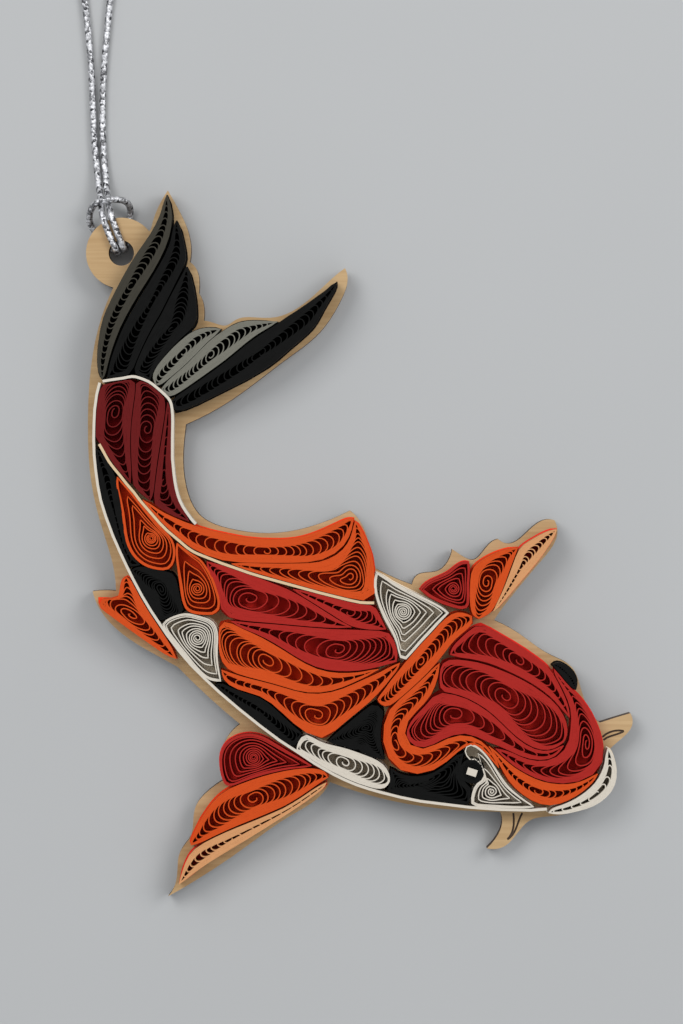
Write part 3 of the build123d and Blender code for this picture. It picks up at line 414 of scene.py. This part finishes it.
def paper_finish(name):
    """Dyed paper: soft mottling along the strip, and a painted highlight that makes the face turned up
    paler than the sides.
    """
    known = bpy.data.materials.get("dye_and_painted_light_" + name)
    if known:
        return known
    colour = Vector(getattr(bpy.context.scene.koi_paper, name))
    made = Finish("dye_and_painted_light_" + name)
    mottle = made.noise(MOTTLE, 4)
    fibre = made.noise(FIBRE, 2)
    # Painted shade and painted highlight: the sides are mottled and darker, 0.72 to 1 of the paper's
    # colour; the face turned up is lighter, 0.92 to 1.12
    deep = made.mix(mottle, tuple(colour * 0.72), tuple(colour))
    pale = tuple(min(1, c * 1.12 + 0.001) for c in colour)
    edge = made.mix(fibre, tuple(colour * 0.92), pale)
    lit_top_face = made.dot(made.facing, BOARD_PLANE.col[2].to_3d()) > 0.8
    return made.finish(
        Base_Color=made.mix(lit_top_face, deep, edge), Roughness=0.62 + 0.2 * mottle,
        Specular_IOR_Level=0.12, Normal=made.bump(fibre, 0.02 * MM, 0.4))


def wood_finish():
    """Pale plywood with fine grain, charred where the laser cut it."""
    settings = bpy.context.scene.koi_board
    made = Finish("plywood")
    broad = made.noise(BROAD_GRAIN, 5, (0.16, 1.6, 1))
    fine = made.noise(FINE_GRAIN, 3, (0.05, 1.4, 1))
    grain = made.node("ShaderNodeMapRange", {}, broad * 0.6 + fine * 0.4, 0.36, 0.66, 0.0, 1.0)
    face = made.mix(grain, tuple(settings.grain), tuple(settings.wood))
    up = BOARD_PLANE.col[2].to_3d()
    facing = made.dot(made.facing, up)
    level = made.dot(made.place, up)
    face_level = up.dot(BOARD_PLANE.translation)
    wall = (facing < 0.5) * (facing > -0.5)
    groove = (level < face_level - 0.1 * MM) * (facing > 0.5)
    char = made.mix(fine, tuple(settings.burnt), tuple(Vector(settings.burnt) * 2.6))
    return made.finish(
        Base_Color=made.mix(wall + groove, face, char), Roughness=0.55 + 0.2 * fine,
        Normal=made.bump(fine, 0.03 * MM, 0.35))


def metallic_finish():
    """A braid of silver thread whose facets sparkle."""
    settings = bpy.context.scene.koi_cord
    made = Finish("silver_braid")
    cells = made.node("ShaderNodeTexVoronoi", {}, Vector=made.place, Scale=1 / settings.bead)
    glint = made.node("ShaderNodeTexWhiteNoise", {}, output=0, Vector=made.node(
        "ShaderNodeTexVoronoi", {}, Vector=made.place, Scale=1 / settings.bead, output="Position"))
    # Painted glints and painted shade: each bead of the braid gets a colour between the thread in shade and
    # bright silver
    colour = made.mix(glint, tuple(settings.shade), tuple(settings.silver))
    return made.finish(
        Base_Color=colour, Metallic=0.75, Roughness=0.22 + 0.3 * glint,
        Normal=made.bump(1 - cells, 0.12 * MM, 0.9))


# Shapes

def keep(mesh_object, material, slot=None):
    """Gives a piece its material and lets it ride on the one body."""
    mesh_object.data.materials.clear()
    mesh_object.data.materials.append(material)
    if slot:
        bpy.context.scene.collection.objects.link(mesh_object)
        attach(mesh_object, "root")


def outline_of(node):
    """The outer line of a coil's upper face, in the board's plane, and that face's height."""
    bm = bmesh.new()
    bm.from_mesh(frame["nodes"][node].data)
    bmesh.ops.remove_doubles(bm, verts=bm.verts, dist=0.002 * MM)
    bmesh.ops.transform(bm, matrix=BOARD_PLANE.inverted(), verts=bm.verts)
    top = max(v.co.z for v in bm.verts)
    upper = {f for f in bm.faces if all(v.co.z > top - 0.05 * MM for v in f.verts)}
    rims = {}
    for edge in bm.edges:
        if sum(f in upper for f in edge.link_faces) == 1:
            for vert in edge.verts:
                rims.setdefault(vert, []).append(edge)
    loops = []
    while rims:
        vert, edges = next(iter(rims.items()))
        loop = []
        edge = edges[0]
        while vert in rims:
            loop.append(vert.co.xy.copy())
            edge = next(e for e in rims.pop(vert) if e is not edge or len(loop) == 1)
            vert = edge.other_vert(vert)
        loops.append(loop)
    bm.free()
    return max(loops, key=lambda loop: max(p.x for p in loop) - min(p.x for p in loop)
               + max(p.y for p in loop) - min(p.y for p in loop)), top


def grown(outline, distance):
    """A closed line moved outward by a distance."""
    following = outline[1:] + outline[:1]
    area = sum(p.cross(q) for p, q in zip(outline, following))
    turned = math.copysign(1, area)
    moved = []
    for before, here, after in zip(outline[-1:] + outline[:-1], outline, following):
        along = ((here - before).normalized() + (after - here).normalized()).normalized()
        moved.append(here + Vector((along.y, -along.x)) * turned * distance)
    return moved


def at_share(line, share):
    """The point at a share of a line's length."""
    steps = [(q - p).length for p, q in zip(line, line[1:])]
    left = min(1, max(0, share)) * sum(steps)
    for p, q, step in zip(line, line[1:], steps):
        if left <= step:
            return p.lerp(q, left / step) if step else p.copy()
        left -= step
    return line[-1].copy()


def softened(line, count=90, passes=2):
    """A line sampled evenly, with its small kinks rubbed out between its ends."""
    points = [at_share(line, i / count) for i in range(count + 1)]
    for _ in range(passes):
        inner = [(a + 2 * b + c) / 4 for a, b, c in zip(points, points[1:], points[2:])]
        points = [points[0], *inner, points[-1]]
    return points


def two_edges(outline, tip, other_tip):
    """The two edges of an outline that run from one tip to the other."""
    first = min(range(len(outline)), key=lambda i: (outline[i] - on_board(tip)).length)
    turned = outline[first:] + outline[:first]
    last = min(range(len(turned)), key=lambda i: (turned[i] - on_board(other_tip)).length)
    return softened(turned[:last + 1]), softened([turned[0], *turned[:last - 1:-1]])


class Strip:
    """A paper strip rolled between two edges: its line from the outer turn to its inner end."""

    def __init__(self, edges, eye, turns, settings, chance, packing):
        self.edges = edges
        self.eye = eye
        self.turns = turns
        self.paper = settings.thickness
        self.samples = settings.samples
        self.ringed = hasattr(eye, "__len__")
        self.stray = [
            chance.uniform(-1, 1) * settings.unevenness for _ in range(2 * (turns + SLOT_RIM) + 4)]
        self.packing = packing
        self.length = (edges[0][0] - edges[0][-1]).length

    def line(self):
        count = int((self.turns + (0 if self.ringed else SLOT_RIM)) * self.samples)
        place = self.round_a_point if self.ringed else self.pressed
        return [place(i / self.samples) for i in range(count + 1)]

    def strayed(self, turn, half):
        """The turn's number with its own small error, none on the outermost."""
        turn = max(0, turn - 1)
        whole = int(turn)
        one = self.stray[2 * whole + half]
        other = self.stray[min(2 * whole + half + 2, len(self.stray) - 1)]
        error = one + (other - one) * (turn - whole)
        return turn + error * min(1, turn)

    def width_at(self, share, turn):
        """Half the width of one turn, with the turns outside it pressed to the edges, and of the coil."""
        half = (at_share(self.edges[0], share) - at_share(self.edges[1], share)).length / 2
        closed = min(CLOSED_NARROW, max(self.packing, OPENING - half / OPEN_WIDTH))
        rim = min(self.paper * TIGHT * SLOT_RIM, half * RIM_SHARE)
        band = max(0, min(self.paper * LOOSE * self.turns, half * closed - rim))
        taken = rim * min(1, max(0, turn - 1) / SLOT_RIM) + band * max(0, turn - 1 - SLOT_RIM) / self.turns
        return max(0, half - self.paper * INSIDE - taken), half

    def pressed(self, turn):
        """The strip's place in a coil pressed long, whose turns end as arcs along an open slot."""
        angle = 2 * math.pi * (turn % 1)
        along = -math.cos(angle)
        depth_low = min(1, max(0, self.strayed(turn, 0) - SLOT_RIM) / (self.turns - INNER_END))
        depth_high = min(1, max(0, self.strayed(turn, 1) - SLOT_RIM) / (self.turns - INNER_END))
        low, high = depth_low * self.eye, 1 - depth_high * (1 - self.eye)
        share = low + (high - low) * (1 + along) / 2
        width, half = self.width_at(share, turn)
        slim = SLIM * max(high - low, 0) / 2 * self.length
        width = min(width, slim)
        rounding = 1.0
        for end, direction in ((low, 1), (high, -1)):
            radius = min(slim, self.width_at(end, turn)[0])
            radius = min(slim, self.width_at(end + direction * radius / self.length, turn)[0])
            away = abs(share - end) * self.length
            if radius > self.paper / 2 and away < radius:
                rounding *= math.sqrt(max(0, 1 - (1 - away / radius) ** 2))
        one, other = at_share(self.edges[0], share), at_share(self.edges[1], share)
        side = math.copysign(1, math.sin(angle)) * rounding * width / max(half, self.paper)
        return one.lerp(other, 0.5 - side / 2)

    def clear_reach(self, centre, rim):
        """How far a ray runs from the centre before it leaves the outline."""
        clear = rim.length
        for edge in self.edges:
            for p, q in zip(edge, edge[1:]):
                hit = intersect_line_line_2d(centre, centre + rim * SHORT_OF_RIM, p, q)
                if hit:
                    clear = min(clear, (hit - centre).length)
        return clear

    def round_a_point(self, turn):
        """The strip's place in a coil whose turns go from its outline to circles round a point."""
        centre = on_board(self.eye)
        around = turn % 1
        share = 2 * around if around < 0.5 else 2 - 2 * around
        rim = at_share(self.edges[0 if around < 0.5 else 1], share) - centre
        inward = self.strayed(turn, 0)
        depth = min(1, max(0, inward - RING_RIM) / (self.turns - RING_RIM - INNER_END))
        nearest = min((p - centre).length for edge in self.edges for p in edge)
        clear = self.clear_reach(centre, rim)
        if clear < rim.length and depth == 0:
            return centre + rim
        roundness = min(1, ROUNDING * depth)
        reach = clear * (1 - roundness) + nearest * roundness
        reach -= self.paper * (INSIDE + TIGHT * min(inward, RING_RIM))
        return centre + rim.normalized() * (max(reach, 0) * (1 - depth) + self.paper * OPEN_MIDDLE)


def paint_gap_light_and_shade(node, outline, colour):
    """A sheet of painted light that a coil stands in, reaching past its outline: painted bounce light or
    painted shade between the turns and between coils, each a little above the one before.
    """
    bm = bmesh.new()
    height = (FILM_HEIGHT + FILM_STEP * sum(o.name.endswith("_base") for o in bpy.data.objects)) * MM
    rim = grown(outline, FILM_SPREAD * MM)
    face = bm.faces.new([bm.verts.new((p.x, p.y, height)) for p in rim])
    face.normal_update()
    bmesh.ops.triangulate(bm, faces=[face])
    bmesh.ops.recalc_face_normals(bm, faces=bm.faces)
    if sum(f.normal.z for f in bm.faces) < 0:
        bmesh.ops.reverse_faces(bm, faces=bm.faces)
    bmesh.ops.transform(bm, matrix=BOARD_PLANE, verts=bm.verts)
    mesh = bpy.data.meshes.new(node + "_base")
    bm.to_mesh(mesh)
    bm.free()
    keep(bpy.data.objects.new(node + "_base", mesh), paper_finish(GAP_LIGHT_AND_SHADE[colour]), "paper_" + colour)


def roll(node, tip, other_tip, eye, turns, colour):
    """One coil: its line drawn on the board, raised to the strip's height and given its thickness."""
    settings = bpy.context.scene.koi_paper
    outline, top = outline_of(node)
    outline = grown(outline, settings.squeeze)
    # Painted light and painted shade in the gaps between the turns and between coils
    paint_gap_light_and_shade(node, outline, colour)
    chance = random.Random(node)
    packing = PACKED_BLACK if colour == "black" else PACKED
    line = Strip(two_edges(outline, tip, other_tip), eye, turns, settings, chance, packing).line()
    bm = bmesh.new()
    verts = [bm.verts.new((p.x, p.y, 0)) for p in line]
    for a, b in zip(verts, verts[1:]):
        if (a.co - b.co).length > 0:
            bm.edges.new((a, b))
    bmesh.ops.dissolve_degenerate(bm, dist=0.01 * MM, edges=bm.edges)
    raised = bmesh.ops.extrude_edge_only(bm, edges=bm.edges)["geom"]
    lifted = [v for v in raised if isinstance(v, bmesh.types.BMVert)]
    bmesh.ops.translate(bm, vec=(0, 0, top), verts=lifted)
    for vert in lifted:
        vert.co.z -= chance.uniform(0, UNEVEN_TOP) * MM
    bmesh.ops.transform(bm, matrix=BOARD_PLANE, verts=bm.verts)
    mesh = bpy.data.meshes.new(node + "_strip")
    bm.to_mesh(mesh)
    bm.free()
    coil = bpy.data.objects.new(node + "_strip", mesh)
    keep(coil, paper_finish(colour), "paper_" + colour)
    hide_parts(node)
    wall = coil.modifiers.new("Paper", "SOLIDIFY")
    wall.thickness = settings.thickness
    wall.offset = 0
    wall.use_even_offset = False


# Operators

class KOI_OT_stage(bpy.types.Operator):
    """Makes the camera, the lights and the pale floor."""

    bl_idname = "koi.stage"
    bl_label = "Stage"

    def execute(self, context):
        settings = context.scene.koi_stage
        focus = on_board((PICTURE[0] / 2, PICTURE[1] / 2))
        data = bpy.data.cameras.new("camera")
        data.lens = data.sensor_width * settings.distance / (PICTURE[1] * SQUARE)
        camera = bpy.data.objects.new("camera", data)
        camera.location = (focus.x, focus.y, BOARD_PLANE.translation.z + settings.distance)
        context.scene.collection.objects.link(camera)
        context.scene.camera = camera
        bpy.ops.mesh.primitive_plane_add(size=4, location=(0, 0, -0.0001))
        floor = context.object
        floor.name = "floor"
        made = Finish("pale_floor")
        tone = made.noise(14, 2)
        colour = Vector(settings.floor)
        floor.data.materials.append(made.finish(
            Base_Color=made.mix(tone, tuple(colour * 0.97), tuple(colour * 1.03)), Roughness=0.9))
        for name, place, size, share in LAMPS:
            light = bpy.data.lights.new(name, "AREA")
            light.size = size
            light.energy = settings.key * share
            lamp = bpy.data.objects.new(name, light)
            lamp.location = place
            lamp.rotation_euler = (-Vector(place)).to_track_quat("-Z", "Y").to_euler()
            context.scene.collection.objects.link(lamp)
        world = bpy.data.worlds.new("studio")
        world.use_nodes = True
        world.node_tree.nodes["Background"].inputs["Strength"].default_value = settings.fill
        world.node_tree.nodes["Background"].inputs["Color"].default_value = (0.93, 0.96, 1, 1)
        context.scene.world = world
        context.scene.view_settings.view_transform = "Standard"
        return {"FINISHED"}


class KOI_OT_cord(bpy.types.Operator):
    """Makes the silver cord: a loop, lark's head round the lug, with its knot."""

    bl_idname = "koi.cord"
    bl_label = "Cord"

    def execute(self, context):
        data = bpy.data.curves.new("cord_braid", "CURVE")
        data.dimensions = "3D"
        line = data.splines.new("NURBS")
        line.points.add(len(CORD_ROUTE) - 1)
        for point, place in zip(line.points, CORD_ROUTE):
            point.co = (*(Vector(place) * MM), 1)
        line.order_u = 3
        line.use_endpoint_u = True
        line.resolution_u = 8
        data.bevel_depth = CORD_DIAMETER / 2 * MM
        data.bevel_resolution = 3
        data.use_fill_caps = True
        cord = bpy.data.objects.new("cord_braid", data)
        context.scene.collection.objects.link(cord)
        silver = metallic_finish()
        data.materials.append(silver)
        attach(cord, "root")
        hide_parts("cord")
        knot = frame["nodes"]["cord_knot"]
        keep(knot, silver)
        return {"FINISHED"}


class KOI_OT_board(bpy.types.Operator):
    """Finishes the laser-cut wooden board."""

    bl_idname = "koi.board"
    bl_label = "Board"

    def execute(self, context):
        keep(frame["nodes"]["board"], wood_finish())
        return {"FINISHED"}


class KOI_OT_edgings(bpy.types.Operator):
    """Finishes the white and cream strips between the fields, and the white square on the eye: a painted
    highlight that stands for the eye's glint.
    """

    bl_idname = "koi.edgings"
    bl_label = "Edging strips"

    def execute(self, context):
        for node, colour in EDGINGS.items():
            keep(frame["nodes"][node], paper_finish(colour))
        # Painted highlight: a white paper square on the eye stands for its glint
        keep(frame["nodes"]["eye_glint"], paper_finish("white"))
        return {"FINISHED"}


class FieldOfCoils:
    """Rolls each coil of one field of the fish."""

    field = ""

    def execute(self, context):
        for coil in FIELDS[self.field]:
            roll(*coil)
        return {"FINISHED"}


class KOI_OT_tail(FieldOfCoils, bpy.types.Operator):
    """Rolls the grey and black coils of the tail."""

    bl_idname = "koi.tail"
    bl_label = "Tail"
    field = "tail"


class KOI_OT_peduncle(FieldOfCoils, bpy.types.Operator):
    """Rolls the deep red coils below the tail."""

    bl_idname = "koi.peduncle"
    bl_label = "Peduncle"
    field = "peduncle"


class KOI_OT_dorsal_fin(FieldOfCoils, bpy.types.Operator):
    """Rolls the two long orange coils of the dorsal fin."""

    bl_idname = "koi.dorsal_fin"
    bl_label = "Dorsal fin"
    field = "dorsal_fin"


class KOI_OT_flank(FieldOfCoils, bpy.types.Operator):
    """Rolls the orange teardrops and bands of the flank."""

    bl_idname = "koi.flank"
    bl_label = "Flank"
    field = "flank"


class KOI_OT_red_back(FieldOfCoils, bpy.types.Operator):
    """Rolls the red coils of the back."""

    bl_idname = "koi.red_back"
    bl_label = "Red back"
    field = "red_back"


class KOI_OT_white_fields(FieldOfCoils, bpy.types.Operator):
    """Rolls the white coils of the side, shoulder, belly, cheek and lip."""

    bl_idname = "koi.white_fields"
    bl_label = "White fields"
    field = "white_fields"


class KOI_OT_black_fields(FieldOfCoils, bpy.types.Operator):
    """Rolls the black coils of the body."""

    bl_idname = "koi.black_fields"
    bl_label = "Black fields"
    field = "black_fields"


class KOI_OT_head(FieldOfCoils, bpy.types.Operator):
    """Rolls the red and orange coils of the head."""

    bl_idname = "koi.head"
    bl_label = "Head"
    field = "head"


class KOI_OT_eyes(FieldOfCoils, bpy.types.Operator):
    """Rolls the two tight black eyes."""

    bl_idname = "koi.eyes"
    bl_label = "Eyes"
    field = "eyes"


class KOI_OT_pectoral_fin(FieldOfCoils, bpy.types.Operator):
    """Rolls the three coils of the pectoral fin."""

    bl_idname = "koi.pectoral_fin"
    bl_label = "Pectoral fin"
    field = "pectoral_fin"


class KOI_OT_pelvic_fin(FieldOfCoils, bpy.types.Operator):
    """Rolls the three coils of the pelvic fin."""

    bl_idname = "koi.pelvic_fin"
    bl_label = "Pelvic fin"
    field = "pelvic_fin"


class KOI_OT_small_fin(FieldOfCoils, bpy.types.Operator):
    """Rolls the small fin's coil."""

    bl_idname = "koi.small_fin"
    bl_label = "Small fin"
    field = "small_fin"


SETTINGS = {
    "koi_stage": StageSettings, "koi_cord": CordSettings, "koi_board": BoardSettings,
    "koi_paper": PaperSettings,
}
STEPS = (
    KOI_OT_stage, KOI_OT_cord, KOI_OT_board, KOI_OT_edgings, KOI_OT_tail, KOI_OT_peduncle,
    KOI_OT_dorsal_fin, KOI_OT_flank, KOI_OT_red_back, KOI_OT_white_fields, KOI_OT_black_fields,
    KOI_OT_head, KOI_OT_eyes, KOI_OT_pectoral_fin, KOI_OT_pelvic_fin, KOI_OT_small_fin,
)


class KOI_PT_panel(bpy.types.Panel):
    """Lists the settings and the steps."""

    bl_idname = "KOI_PT_panel"
    bl_label = "Quilled koi"
    bl_space_type = "VIEW_3D"
    bl_region_type = "UI"
    bl_category = "Koi"

    def draw(self, context):
        for name, group in SETTINGS.items():
            box = self.layout.box()
            for setting in group.__annotations__:
                box.prop(getattr(context.scene, name), setting)
        for step in STEPS:
            self.layout.operator(step.bl_idname)


def register():
    for group in SETTINGS.values():
        bpy.utils.register_class(group)
    for name, group in SETTINGS.items():
        setattr(bpy.types.Scene, name, PointerProperty(type=group))
    for made in (*STEPS, KOI_PT_panel):
        bpy.utils.register_class(made)


def unregister():
    for made in reversed((*STEPS, KOI_PT_panel)):
        bpy.utils.unregister_class(made)
    for name, group in SETTINGS.items():
        delattr(bpy.types.Scene, name)
        bpy.utils.unregister_class(group)


def main():
    register()
    for step in STEPS:
        getattr(bpy.ops.koi, step.bl_idname.split(".")[1])()


if __name__ == "__main__":
    main()
